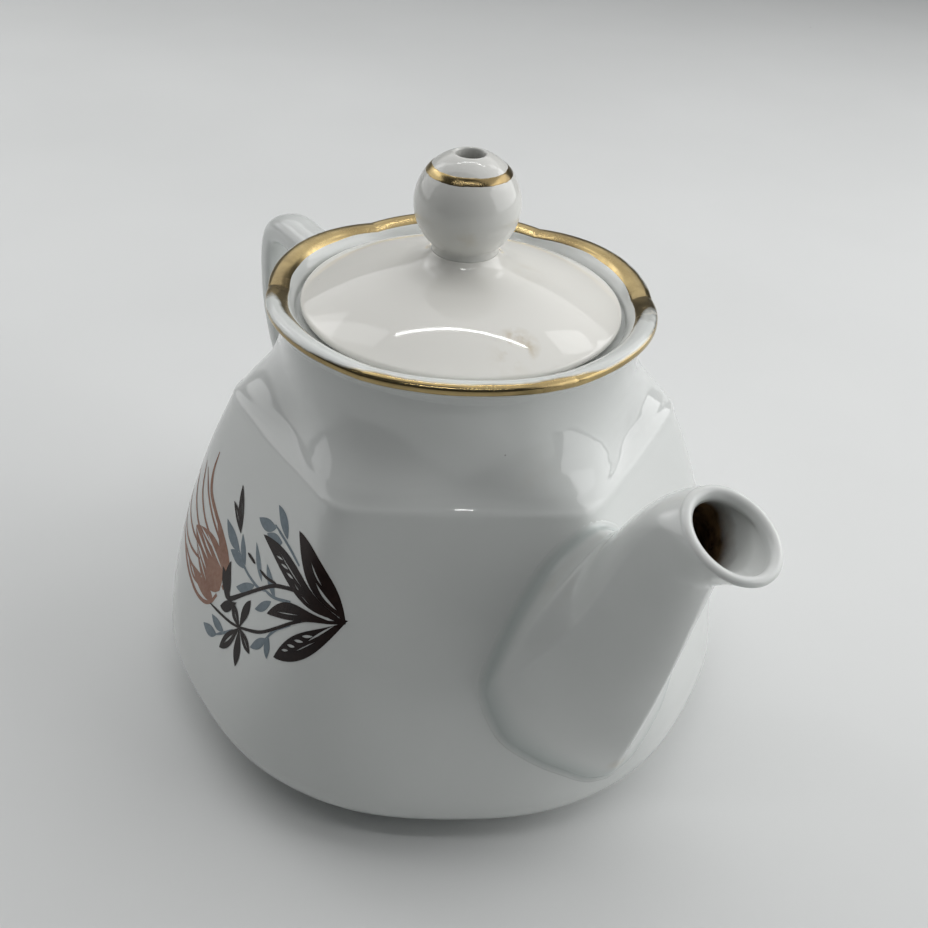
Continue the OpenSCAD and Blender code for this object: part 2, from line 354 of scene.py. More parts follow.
# Height, distance of the six panels from the axis, radius at the six corners.
BODY_FORM = np.array([
    (17, 75.9, 76.5), (24, 74.3, 75.7), (34, 71.0, 73.9), (49, 65.0, 70.4), (60, 60.3, 67.4),
    (69, 56.6, 64.8), (77, 53.4, 61.5), (82, 51.4, 58.9), (84.5, 50.4, 57.7), (85.3, 49.8, 57.2),
    (86.2, 48.7, 56.0), (88, 46.9, 53.8), (90, 45.6, 51.3), (92.5, 44.8, 48.8), (95.5, 44.3, 46.6),
    (99, 44.1, 45.0), (102, 44.2, 44.1), (106, 44.4, 43.7), (110, 44.8, 43.8)])
panel_distance = smooth_curve(BODY_FORM[:, 0], BODY_FORM[:, 1])
corner_distance = smooth_curve(BODY_FORM[:, 0], BODY_FORM[:, 2])


def body_radius(azimuth, z):
    """Radius of the body's outside: six flat panels, rounded off to a lobed neck above them."""
    azimuth, z = np.broadcast_arrays(azimuth, z)
    middles = math.pi / SIDES + TURN / SIDES * np.arange(SIDES)
    facing = np.maximum(np.cos(azimuth[..., None] - middles), 0)
    planes = (facing / panel_distance(z)[..., None]) ** SHARPNESS
    faceted = (planes.sum(-1) + corner_distance(z) ** -SHARPNESS) ** (-1 / SHARPNESS)
    corners = 0.5 + 0.5 * np.cos(SIDES * azimuth)
    lobed = panel_distance(z) + (corner_distance(z) - panel_distance(z)) * corners
    above = np.clip((z - RIDGE_HEIGHT) / (LEDGE_TOP - RIDGE_HEIGHT), 0, 1)
    return faceted + (lobed - faceted) * above * above * (3 - 2 * above)


def on_body(sideways, z, facing, lift=0.0):
    """Points on the body, given sideways from the azimuth `facing` and by height."""
    sideways, z = np.broadcast_arrays(np.asarray(sideways, float), np.asarray(z, float))
    out = corner_distance(z)
    for _ in range(25):
        radius = body_radius(np.arctan2(sideways, out) + facing, z)
        out = np.sqrt(np.maximum(radius ** 2 - sideways ** 2, 1))
    out = out + lift
    return np.stack([out * math.cos(facing) - sideways * math.sin(facing),
                     out * math.sin(facing) + sideways * math.cos(facing), z], -1)


LOBE_RADIUS = 47.4
CUSP_RADIUS = 46.5
LOBE_LIFT = 1.05
CUSP_DROP = 0.6
SEAT_HEIGHT = 110.5
SEAT_RADIUS = 39.9
WELL_RADIUS = 34.6
WELL_BOTTOM = 100.5


def rim_radius(azimuth):
    """Radius of the six-lobed rim: six arcs meeting in cusps over the corners."""
    half = math.cos(math.pi / SIDES)
    span = ((LOBE_RADIUS ** 2 - 2 * LOBE_RADIUS * CUSP_RADIUS * half + CUSP_RADIUS ** 2)
            / (2 * (LOBE_RADIUS - CUSP_RADIUS * half)))
    offset = LOBE_RADIUS - span
    swing = np.mod(azimuth, TURN / SIDES) - math.pi / SIDES
    return offset * np.cos(swing) + np.sqrt(span ** 2 - (offset * np.sin(swing)) ** 2)


def lip_profile(azimuth):
    """The lip from the neck over the rim to the lid seat: arrays of radius and height."""
    edge = rim_radius(azimuth)
    lift = LOBE_LIFT * np.abs(np.sin(azimuth * SIDES / 2)) ** 0.9 - CUSP_DROP
    neck = body_radius(azimuth, NECK_TOP)
    seat = np.full_like(edge, SEAT_RADIUS)
    # Radius, height, share of the rim's rise and fall.
    steps = [(neck, NECK_TOP, 0), (neck + 0.7, 111.2, 0.2), (edge - 1.7, 112.1, 0.6),
             (edge - 0.5, 112.8, 1), (edge, 113.6, 1), (edge - 0.1, 114.5, 1),
             (edge - 0.7, 115.1, 1), (edge - 1.7, 115.4, 1), (edge - 2.9, 115.3, 1),
             (edge - 4.1, 114.8, 1), (edge - 5.1, 114.1, 0.8), (seat + 1.1, 113.0, 0.4),
             (seat + 0.2, 111.6, 0), (seat, SEAT_HEIGHT, 0)]
    radii = np.array([step[0] for step in steps])
    heights = np.array([step[1] + lift * step[2] for step in steps])
    fine = np.linspace(0, len(steps) - 1, 4 * len(steps))
    index = np.arange(len(steps))
    return smooth_curve(index, radii)(fine), smooth_curve(index, heights)(fine)


def foot_rings(azimuth):
    """Rings of the foot: the recess under the floor, the foot ring and the turn up to the belly."""
    rings = [polar(r, azimuth, z) for r, z in ((1, FOOT_RECESS), (30, FOOT_RECESS),
                                               (44.6, FOOT_RECESS), (45.4, 2.6), (46, 1.4),
                                               (46.5, 0.4), (47.2, 0), (48.6, 0))]
    start = FOOT_RADIUS - 0.4
    reach = body_radius(azimuth, BELLY_HEIGHT) - start
    for angle in np.radians(np.linspace(-88, 0, 26)[:-1]):
        rings.append(polar(start + reach * math.cos(angle), azimuth,
                           BELLY_HEIGHT * (1 + math.sin(angle))))
    return rings


def inner_rings(azimuth):
    """Rings of the inside: the lid's seat, the well below it, the wall and the floor."""
    rings = [polar(r, azimuth, z) for r, z in ((39.5, 110.4), (35.4, 110.4), (34.8, 110.1),
                                               (WELL_RADIUS, 109.4), (WELL_RADIUS, WELL_BOTTOM))]
    undercut = body_radius(azimuth, 100.0) - WALL - WELL_RADIUS
    rings.append(polar(WELL_RADIUS + 0.25 * undercut, azimuth, 100.1))
    rings.append(polar(WELL_RADIUS + 0.9 * undercut, azimuth, 99.2))
    for z in np.concatenate([np.linspace(97.5, 80, 22), np.linspace(78, INNER_BELLY_HEIGHT, 26)]):
        rings.append(polar(body_radius(azimuth, min(z + 2.0, 100)) - WALL, azimuth, z))
    reach = body_radius(azimuth, INNER_BELLY_HEIGHT + 2) - WALL - FLOOR_RADIUS
    drop = INNER_BELLY_HEIGHT - FLOOR_HEIGHT
    for angle in np.radians(np.linspace(0, 90, 12)[1:]):
        rings.append(polar(FLOOR_RADIUS + reach * math.cos(angle), azimuth,
                           INNER_BELLY_HEIGHT - drop * math.sin(angle)))
    return rings + [polar(r, azimuth, FLOOR_HEIGHT) for r in (30, 1)]


def pot_rings(count):
    """Rings of the pot from the middle of its underside, over the rim, to its inner floor."""
    azimuth = np.linspace(0, TURN, count, endpoint=False)
    heights = np.concatenate([np.linspace(BELLY_HEIGHT, 80, 43), np.linspace(80.8, 83.6, 8),
                              np.linspace(83.9, 90, 24), np.linspace(90.6, 109.6, 30)])
    outside = [polar(body_radius(azimuth, z), azimuth, z) for z in heights]
    lip = [polar(r, azimuth, z) for r, z in zip(*lip_profile(azimuth))]
    return foot_rings(azimuth) + outside + lip + inner_rings(azimuth)


HOLE_RADIUS = 2.3
HOLE_SPACING = 8.0
HOLE_ROWS = 4
ROW_RISE = 7.0
LOWEST_ROW = 38.0
STRAINER_DISTANCE = 66.0


def strainer_cutters():
    """Round pegs where the strainer's holes go through the wall behind the spout."""
    build = bmesh.new()
    for row in range(HOLE_ROWS):
        holes = 3 - row % 2
        for hole in range(holes):
            y = (hole - (holes - 1) / 2) * HOLE_SPACING
            middle = Vector((STRAINER_DISTANCE, y, LOWEST_ROW + row * ROW_RISE)) * MM
            place = Matrix.Translation(middle) @ Matrix.Rotation(math.pi / 2, 4, "Y")
            bmesh.ops.create_cone(build, cap_ends=True, segments=24, radius1=HOLE_RADIUS * MM,
                                  radius2=HOLE_RADIUS * MM, depth=30 * MM, matrix=place)
    mesh = bpy.data.meshes.new("strainer_pegs")
    build.to_mesh(mesh)
    build.free()
    obj = bpy.data.objects.new("strainer_pegs", mesh)
    bpy.context.scene.collection.objects.link(obj)
    return obj


def pierce(obj, cutter):
    """Cuts the cutter out of obj for good and removes the cutter."""
    cut = obj.modifiers.new("holes", "BOOLEAN")
    cut.object = cutter
    cut.operation = "DIFFERENCE"
    cut.solver = "EXACT"
    graph = bpy.context.evaluated_depsgraph_get()
    result = bpy.data.meshes.new_from_object(obj.evaluated_get(graph))
    obj.modifiers.clear()
    obj.data = result
    bpy.data.objects.remove(cutter)


def make_pot_body():
    """The cast shell, with its strainer pierced through."""
    body = loft("porcelain_body", pot_rings(360), body_porcelain())
    pierce(body, strainer_cutters())
    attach(body, "pot")
    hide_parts("pot_body")


# ---- gilding ------------------------------------------------------------------------

# Where the gold film's outside, its edges and its hidden inside lie, out from the porcelain.
FILM_PROUD = 0.07
FILM_EDGE = -0.04
FILM_SUNK = -0.12


def gilt_band(name, azimuth, radii, heights, material):
    """A film over a stretch of profile: radii and heights are [step, azimuth] arrays."""
    run_r = np.gradient(radii, axis=0)
    run_z = np.gradient(heights, axis=0)
    length = np.hypot(run_r, run_z)
    out_r = run_z / length
    out_z = -run_r / length
    taper = np.sin(np.linspace(0, math.pi, len(radii)))[:, None] ** 0.4
    reach = FILM_EDGE + (FILM_PROUD - FILM_EDGE) * taper
    outer = [polar(radii[i] + reach[i] * out_r[i], azimuth, heights[i] + reach[i] * out_z[i])
             for i in range(len(radii))]
    inner = [polar(radii[i] + FILM_SUNK * out_r[i], azimuth, heights[i] + FILM_SUNK * out_z[i])
             for i in reversed(range(len(radii)))]
    return loft(name, outer + inner, material, closed=True)


def wander(azimuth, amount, seed):
    """A hand-drawn edge: a slow uneven drift round the ring."""
    turns = np.array([2, 5, 9, 16, 27])
    phase = seed * turns
    waves = np.sin(turns * azimuth[:, None] + phase) / (1 + 0.12 * turns)
    return amount * waves.sum(-1)


# The gold's edges, as steps along lip_profile().
RIM_GOLD_LOW = 14.0
RIM_GOLD_HIGH = 43.5

# Where the gold is rubbed bare: azimuth in degrees, outer and inner edge as shares of the
# band's width, how bare it is.
RIM_WEAR = np.array([(-180, -0.2, 0.32, 0.4), (-150, -0.2, 0.42, 1.0), (-132, -0.2, 0.36, 0.5),
                     (-120, 0.1, 0.5, 0.0), (-106, 0.2, 0.72, 0.8), (-90, 0.24, 0.82, 1.0),
                     (-68, 0.30, 0.95, 1.0), (-55, 0.48, 1.2, 1.0), (-2, 0.50, 1.2, 1.0),
                     (12, 0.30, 1.05, 1.0), (42, 0.30, 0.9, 0.75), (60, 0.1, 0.5, 0.1),
                     (76, -0.2, 0.46, 0.9), (104, -0.2, 0.46, 0.9), (120, -0.2, 0.3, 0.1),
                     (150, -0.2, 0.36, 0.9), (180, -0.2, 0.32, 0.4)])


def make_rim_gilding():
    """The gold band over the lip, rubbed away unevenly round the rim."""
    azimuth = np.linspace(0, TURN, 720, endpoint=False)
    radii, heights = lip_profile(azimuth)
    low = RIM_GOLD_LOW + wander(azimuth, 0.3, 1.3)
    high = RIM_GOLD_HIGH + wander(azimuth, 0.5, 2.9)
    steps = np.linspace(0, 1, 26)[:, None]
    where = low + (high - low) * steps
    index = np.clip(where.astype(int), 0, len(radii) - 2)
    part = where - index
    columns = np.arange(len(azimuth))[None, :]
    band_r = radii[index, columns] * (1 - part) + radii[index + 1, columns] * part
    band_z = heights[index, columns] * (1 - part) + heights[index + 1, columns] * part
    band = gilt_band("rim_gold_band", azimuth, band_r, band_z, gold("rim_gold"))
    degrees = np.mod(np.degrees(azimuth) + 180, 360) - 180
    outer, inner, bare = smooth_curve(RIM_WEAR[:, 0], RIM_WEAR[:, 1:])(degrees).T
    worn = (np.clip((steps - outer) / 0.2 + 0.5, 0, 1)
            * np.clip((inner - steps) / 0.2 + 0.5, 0, 1) * bare)
    set_point_values(band, "worn", np.vstack([worn, np.zeros_like(worn)]).ravel())
    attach(band, "pot")
    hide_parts("rim_gilding")


# ---- spout --------------------------------------------------------------------------

# Outline of the spout's root on the body, half of it: sideways, height.
ROOT_UPPER = [(0, 81.8), (3.4, 80.7), (9, 76.4), (17, 66.4), (24, 55.2), (27.4, 48.4),
              (27.9, 45.4)]
ROOT_LOWER = [(27.9, 45.4), (27.2, 41), (25.2, 35.4), (19.5, 30), (12.6, 25.2), (5.8, 20.6),
              (0, 19)]

# Along the spout: crest x z, side ridge x z and half width, keel x z, straightness below/above.
SPOUT_FORM = np.array([
    (58.2, 81.8, 64.5, 45.4, 27.9, 76.0, 19.0, 0.75, 0.80),
    (63.6, 84.2, 68.0, 61.0, 20.0, 80.6, 32.0, 0.60, 0.55),
    (66.8, 88.6, 73.5, 72.5, 14.6, 84.9, 48.0, 0.48, 0.35),
    (70.2, 93.6, 77.0, 84.0, 12.3, 88.9, 66.0, 0.36, 0.18),
    (73.6, 98.7, 80.0, 93.5, 11.1, 91.4, 80.0, 0.22, 0.08),
    (77.0, 103.2, 83.5, 101.0, 10.5, 93.6, 91.0, 0.10, 0.0),
    (81.0, 107.5, 88.5, 106.2, 10.0, 98.6, 96.5, 0.02, 0.0),
    (85.4, 110.8, 95.9, 106.3, 9.9, 106.3, 101.8, 0.0, 0.0)])
spout_form = smooth_curve(np.arange(len(SPOUT_FORM)), SPOUT_FORM)
SPOUT_END = len(SPOUT_FORM) - 1.0
HALF_STEPS = 32
SPOUT_WALL = 2.7

# How far the root swells, and the fold's height and the station where it reaches the crest.
ROOT_SWELL = 1.7
FOLD_HEIGHT = 2.6
FOLD_END = 1.9
MOUTH_TILT = math.radians(23)

# The lip of the mouth: scale along and across, distance out along the mouth's axis.
MOUTH_LIP = [(1.0, 1.0, 0.25), (0.975, 0.97, 0.65), (0.93, 0.915, 0.95), (0.87, 0.85, 0.95),
             (0.81, 0.78, 0.5), (0.775, 0.73, -0.3)]
MOUTH_THROAT = (0.76, 0.71, -1.4)
POOL_RINGS = 15
POOL_STRENGTH = 0.6
STAINED_RINGS = 12


def whole_ring(half):
    """Mirrors half a ring, crest to keel, into a full one."""
    mirrored = half[1:-1][::-1] * np.array([1, -1, 1])
    return np.vstack([half, mirrored])


def spout_section(v):
    """Ring of the spout at station v: an arch above the side ridges, a keel below them."""
    cx, cz, rx, rz, width, kx, kz, keel_straight, crest_straight = spout_form(v)
    t = np.linspace(0, 1, HALF_STEPS + 1)

    def quarter(far, straight):
        angle = t * math.pi / 2
        across = (1 - straight) * np.sin(angle) + straight * t
        along = (1 - straight) * np.cos(angle) + straight * (1 - t)
        ridge = np.array([rx, rz])
        place = ridge + (np.array(far) - ridge) * along[:, None]
        return np.stack([place[:, 0], width * across, place[:, 1]], -1)

    upper = quarter((cx, cz), crest_straight)
    lower = quarter((kx, kz), keel_straight)[::-1]
    return whole_ring(np.vstack([upper, lower[1:]]))


def root_outline(spread):
    """Ring on the body's surface round the spout's root, moved outward by `spread`."""
    upper = through(ROOT_UPPER, HALF_STEPS + 1)
    lower = through(ROOT_LOWER, HALF_STEPS + 1)
    half = np.vstack([upper, lower[1:]])
    run = np.gradient(half, axis=0)
    run[0], run[-1] = (1, 0), (-1, 0)
    out = np.stack([-run[:, 1], run[:, 0]], -1)
    out /= np.linalg.norm(out, axis=1)[:, None]
    half = half + spread * out
    half[[0, -1], 0] = 0
    return whole_ring(on_body(half[:, 0], half[:, 1], 0.0))


def spout_rings():
    """Outer rings of the spout from the fillet on the body to the rim of the mouth."""
    sections = [spout_section(v) for v in range(1, len(SPOUT_FORM))]
    stations = np.array([root_outline(0.0)] + sections)
    drawn = smooth_curve(np.arange(len(stations)), stations)
    away = stations[0] / np.hypot(stations[0][:, 0], stations[0][:, 1])[:, None]
    away[:, 2] = 0.35
    half = np.arange(2 * HALF_STEPS + 1) / HALF_STEPS
    from_crest = np.concatenate([half, half[1:-1][::-1]])
    side = np.sign(np.round(stations[1][:, 1], 3))
    sideways = np.stack([0 * side, 0.85 * side, np.full_like(side, 0.5)], -1)

    def surface(v):
        """The drawn surface, swollen at the body, with a fold from each side ridge to the crest."""
        swell = ROOT_SWELL * (1 - math.exp(-v / 0.06)) * math.exp(-v / 0.35)
        fade = math.sin(math.pi * min(v / FOLD_END, 1)) ** 2
        beside = np.hypot(from_crest - (1 - v / FOLD_END), 0.1)
        fold = FOLD_HEIGHT * fade * np.exp(-beside / 0.4)
        return drawn(v) + swell * away + fold[:, None] * sideways

    start = surface(0.05)
    fillet = bend(root_outline(1.4), root_outline(0.0), start, 8)
    rings = [fillet[0] - np.array([0.15, 0, 0])] + list(fillet)
    rings += [surface(v) for v in np.linspace(0.05, SPOUT_END, 110)[1:]]
    return rings, surface


def mouth_ring(scale_long, scale_wide, ahead):
    """A ring in the plane of the mouth, scaled about its middle and moved out along its axis."""
    ring = spout_section(SPOUT_END)
    middle = np.array([(SPOUT_FORM[-1][0] + SPOUT_FORM[-1][5]) / 2, 0, SPOUT_FORM[-1][3]])
    scale = np.array([scale_long, scale_wide, scale_long])
    normal = np.array([math.sin(MOUTH_TILT), 0, math.cos(MOUTH_TILT)])
    return middle + (ring - middle) * scale + ahead * normal


def inner_ring(ring):
    """A ring moved in from the outside by the wall, about the middle of its crest and keel."""
    middle = (ring[0] + ring[2 * HALF_STEPS]) / 2
    spoke = ring - middle
    length = np.linalg.norm(spoke, axis=1)[:, None]
    return middle + spoke * np.maximum(length - SPOUT_WALL, 1.5) / length


def make_spout():
    """The hollow spout, luted to the corner of the body that faces +X."""
    outer, surface = spout_rings()
    lip = [mouth_ring(*row) for row in MOUTH_LIP]
    inner = [mouth_ring(*MOUTH_THROAT)]
    inner += [inner_ring(surface(v)) for v in np.linspace(SPOUT_END - 0.45, 0.25, 40)]
    sunk = root_outline(-4.0) - np.array([1.2, 0, 0])
    rings = outer + lip + inner + [sunk]
    spout = loft("porcelain_spout", rings, spout_porcelain(), closed=True)
    inside = np.zeros(len(rings))
    first = len(outer) + len(lip) - 1
    inside[first:] = np.minimum(np.arange(len(rings) - first) / STAINED_RINGS, 1)
    pool = np.zeros(len(rings))
    pool[:POOL_RINGS] = POOL_STRENGTH * np.sin(np.linspace(0, math.pi, POOL_RINGS)) ** 2
    set_point_values(spout, "inside", np.repeat(inside, len(sunk)))
    set_point_values(spout, "pool", np.repeat(pool, len(sunk)))
    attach(spout, "pot")
    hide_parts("spout")


# ---- handle -------------------------------------------------------------------------

HANDLE_WIDTH = 12.5
HANDLE_THICKNESS = 7.0
HANDLE_CROWN = 1.7
HANDLE_SQUARENESS = 3.4
FLARE_WIDTH = 2.6
FLARE_THICKNESS = 1.6
FLARE_LENGTH = 3.0

# Middle line of the strap: outward from the axis, height.
HANDLE_LINE = [(44.4, 93.0), (56, 93.2), (70, 93.4), (84, 93.5), (94, 93.2), (100.6, 90.4),
               (103.6, 84.4), (104.6, 76), (104.2, 67), (101.8, 58.6), (97.6, 50.4),
               (90.6, 42.4), (81.6, 36.4), (71.6, 33.2)]


def make_handle():
    """A strap of rounded section, crowned on its outer face and flared where it is luted on."""
    line = through(HANDLE_LINE, 120)
    run = np.gradient(line, axis=0)
    run /= np.linalg.norm(run, axis=1)[:, None]
    outward = np.stack([-run[:, 1], run[:, 0]], -1)
    reach = np.concatenate([[0], np.cumsum(np.linalg.norm(np.diff(line, axis=0), axis=1))])
    from_end = np.minimum(reach, reach[-1] - reach)
    flare = np.exp(-np.maximum(from_end - 1.5, 0) / FLARE_LENGTH)
    angle = np.linspace(0, TURN, 48, endpoint=False)
    power = 2 / HANDLE_SQUARENESS
    across = np.sign(np.cos(angle)) * np.abs(np.cos(angle)) ** power
    through_strap = np.sign(np.sin(angle)) * np.abs(np.sin(angle)) ** power
    rings = []
    for place, out, wide in zip(line, outward, flare):
        half_width = HANDLE_WIDTH / 2 + FLARE_WIDTH * wide
        half_thick = HANDLE_THICKNESS / 2 + FLARE_THICKNESS * wide
        crown = HANDLE_CROWN * (1 - across ** 2) * (through_strap > 0)
        depth = half_thick * through_strap + crown
        rings.append(np.stack([-(place[0] + out[0] * depth), half_width * across,
                               place[1] + out[1] * depth], -1))
    handle = loft("porcelain_handle", rings, porcelain("handle_porcelain", POT_WHITE, POT_SHADE))
    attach(handle, "pot")
    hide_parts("handle")


# ---- lid and knob -------------------------------------------------------------------

LID_BOTTOM = 110.5
LID_EDGE_MIDDLE = (37.7, 112.2)
LID_EDGE_ROUNDING = 1.1
COLLAR_INSIDE = 30.9
COLLAR_OUTSIDE = 33.7
NECK_RADIUS = 8.0
NECK_HEIGHT = 125.8
KNOB_HEIGHT = 137.1
KNOB_RADIUS = 12.5
KNOB_WALL = 3.0
VENT_RADIUS = 3.5

# The knob's gold line, in degrees above its middle.
KNOB_GOLD_LOW = 36.4
KNOB_GOLD_HIGH = 47.2


def make_lid():
    """A low dome with a neck for the knob, a vent down its middle and a collar below."""
    edge = arc(LID_EDGE_MIDDLE, LID_EDGE_ROUNDING, -80, 60, 9)
    dome = bend(edge[-1] + (-0.2, 0.12), (26.6, 119.0), (15.4, 121.3), 26)
    swell = bend(dome[-1], (9.4, 122.9), (NECK_RADIUS, NECK_HEIGHT), 16)[1:]
    vent = [(6, NECK_HEIGHT), (VENT_RADIUS, NECK_HEIGHT), (VENT_RADIUS, 118.5)]
    under = bend((10, 118.1), (24, 116), (COLLAR_INSIDE, LID_BOTTOM), 12)
    collar = [(COLLAR_INSIDE, 100.1), (31.2, 99.6), (32.6, 99.5), (33.4, 99.8),
              (COLLAR_OUTSIDE, 100.4), (COLLAR_OUTSIDE, 110.1), (34.2, LID_BOTTOM)]
    profile = np.vstack([edge, dome, swell, vent, under, collar])
    white = porcelain("lid_porcelain", LID_WHITE, LID_SHADE, LID_STAINS)
    lid = lathe("porcelain_lid", profile, white, 240)
    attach(lid, "lid")
    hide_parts("lid")


def make_knob():
    """The hollow ball on the lid's neck, open at its top."""
    centre = (0, KNOB_HEIGHT)
    low = -math.degrees(math.acos(8.4 / KNOB_RADIUS))
    high = math.degrees(math.acos((VENT_RADIUS + 0.5) / KNOB_RADIUS))
    top = KNOB_HEIGHT + KNOB_RADIUS * math.sin(math.radians(high))
    neck = bend((NECK_RADIUS, NECK_HEIGHT), (7.75, 126.9),
                arc(centre, KNOB_RADIUS, low, low, 1)[0], 8)
    ball = arc(centre, KNOB_RADIUS, low, high, 60)[1:]
    vent = [(VENT_RADIUS + 0.12, top - 0.05), (VENT_RADIUS, top - 0.5), (VENT_RADIUS, top - 2.6)]
    hollow = arc(centre, KNOB_RADIUS - KNOB_WALL, 65, -65, 26)
    profile = np.vstack([neck, ball, vent, hollow, [(VENT_RADIUS, NECK_HEIGHT)]])
    # The knob's porcelain is darkened below the lid's with painted shade.
    white = porcelain("knob_porcelain", KNOB_WHITE_PAINTED_SHADE, KNOB_TONE_PAINTED_SHADE, KNOB_STAINS)
    knob = lathe("porcelain_knob", profile, white, 160)
    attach(knob, "lid")
    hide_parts("lid_knob")


def make_knob_gilding():
    """The gold line round the upper half of the knob."""
    azimuth = np.linspace(0, TURN, 360, endpoint=False)
    low = KNOB_GOLD_LOW + wander(azimuth, 0.35, 0.7)
    high = KNOB_GOLD_HIGH + wander(azimuth, 0.35, 2.1)
    angle = np.radians(low + (high - low) * np.linspace(0, 1, 9)[:, None])
    radii = KNOB_RADIUS * np.cos(angle)
    heights = KNOB_HEIGHT + KNOB_RADIUS * np.sin(angle)
    band = gilt_band("knob_gold_line", azimuth, radii, heights, gold("knob_gold"))
    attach(band, "lid")
    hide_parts("knob_gilding")


# ---- flower transfers ---------------------------------------------------------------

OUTLINE_STEPS = 25
FILM_MESH = 1.5


def side_of(spine):
    """Unit vectors to the left of a line's way, one for each of its points."""
    along = np.gradient(spine, axis=0)
    side = np.stack([-along[:, 1], along[:, 0]], -1)
    return side / np.linalg.norm(side, axis=1)[:, None]


def petal(root, tip, width, bow=0.0, widest=0.5):
    """Outline of a pointed leaf; bow bends it to the left of its way, widest is where it swells."""
    root, tip = np.array(root, float), np.array(tip, float)
    run = tip - root
    left = np.array([-run[1], run[0]]) / np.linalg.norm(run)
    spine = bend(root, (root + tip) / 2 + 2 * bow * left, tip, OUTLINE_STEPS)
    t = np.linspace(0, 1, OUTLINE_STEPS) ** (math.log(0.5) / math.log(widest))
    half = (width / 2 * np.sin(math.pi * t) ** 0.85)[:, None]
    side = side_of(spine)
    return np.vstack([spine + half * side, (spine - half * side)[-2:0:-1]])


def stroke(points, width, start=0.35, end=0.35):
    """Outline of a drawn line through points; its ends are narrowed by the given shares."""
    spine = through(points, 14 + 6 * len(points))
    t = np.linspace(0, 1, len(spine))
    swell = np.interp(t, [0, 0.2, 0.8, 1], [start, 1, 1, end])
    side = side_of(spine)
    half = (width / 2 * swell)[:, None]
    return np.vstack([spine + half * side, (spine - half * side)[::-1]])


def inside_outline(outline, points):
    """Which points are inside a closed outline, by counting crossings."""
    x, y = points[:, 0, None], points[:, 1, None]
    ax, ay = outline[:, 0], outline[:, 1]
    bx, by = np.roll(ax, -1), np.roll(ay, -1)
    rising = (ay > y) != (by > y)
    with np.errstate(divide="ignore", invalid="ignore"):
        crossing = ax + (y - ay) * (bx - ax) / (by - ay)
    return (rising & (x < crossing)).sum(1) % 2 == 1


def triangulate(outline, gaps):
    """Triangles of an outline without its gaps, fine enough to lie on the curved body."""
    loops = [outline] + list(gaps)
    low, high = outline.min(0), outline.max(0)
    columns, rows = (np.arange(low[axis], high[axis], FILM_MESH) for axis in (0, 1))
    grid = np.stack(np.meshgrid(columns, rows), -1).reshape(-1, 2)
    points = np.vstack(loops + [grid])
    edges = []
    first = 0
    for loop in loops:
        count = len(loop)
        edges += [(first + i, first + (i + 1) % count) for i in range(count)]
        first += count
    corners, _, faces, _, _, _ = delaunay_2d_cdt([Vector(p) for p in points], edges, [], 0, 1e-5)
    corners = np.array([tuple(c) for c in corners])
    faces = np.array(faces)
    middle = corners[faces].mean(1)
    kept = inside_outline(outline, middle)
    for gap in gaps:
        kept &= ~inside_outline(gap, middle)
    return corners, faces[kept]


def print_film(name, shapes, facing, lift, material):
    """Lays printed shapes, each an outline with its gaps, on the panel that faces `facing`."""
    points = []
    faces = []
    count = 0
    for layer, (outline, gaps) in enumerate(shapes):
        corners, triangles = triangulate(outline, gaps)
        points.append(on_body(corners[:, 0], corners[:, 1], facing, lift + 0.002 * layer))
        faces += (triangles + count).tolist()
        count += len(corners)
    return mesh_object(name, np.vstack(points), faces, material)


def leaf_with_veins(root, tip, width, bow, veins, widest=0.5):
    """A leaf and its pale marks: (start, end, offset at start, offset at end, width) each."""
    root, tip = np.array(root, float), np.array(tip, float)
    run = tip - root
    left = np.array([-run[1], run[0]]) / np.linalg.norm(run)
    gaps = []
    for start, end, near, far, thickness in veins:
        a = root + start * run + (near + 4 * bow * start * (1 - start)) * left
        b = root + end * run + (far + 4 * bow * end * (1 - end)) * left
        gaps.append(petal(a, b, thickness))
    return petal(root, tip, width, bow, widest), gaps


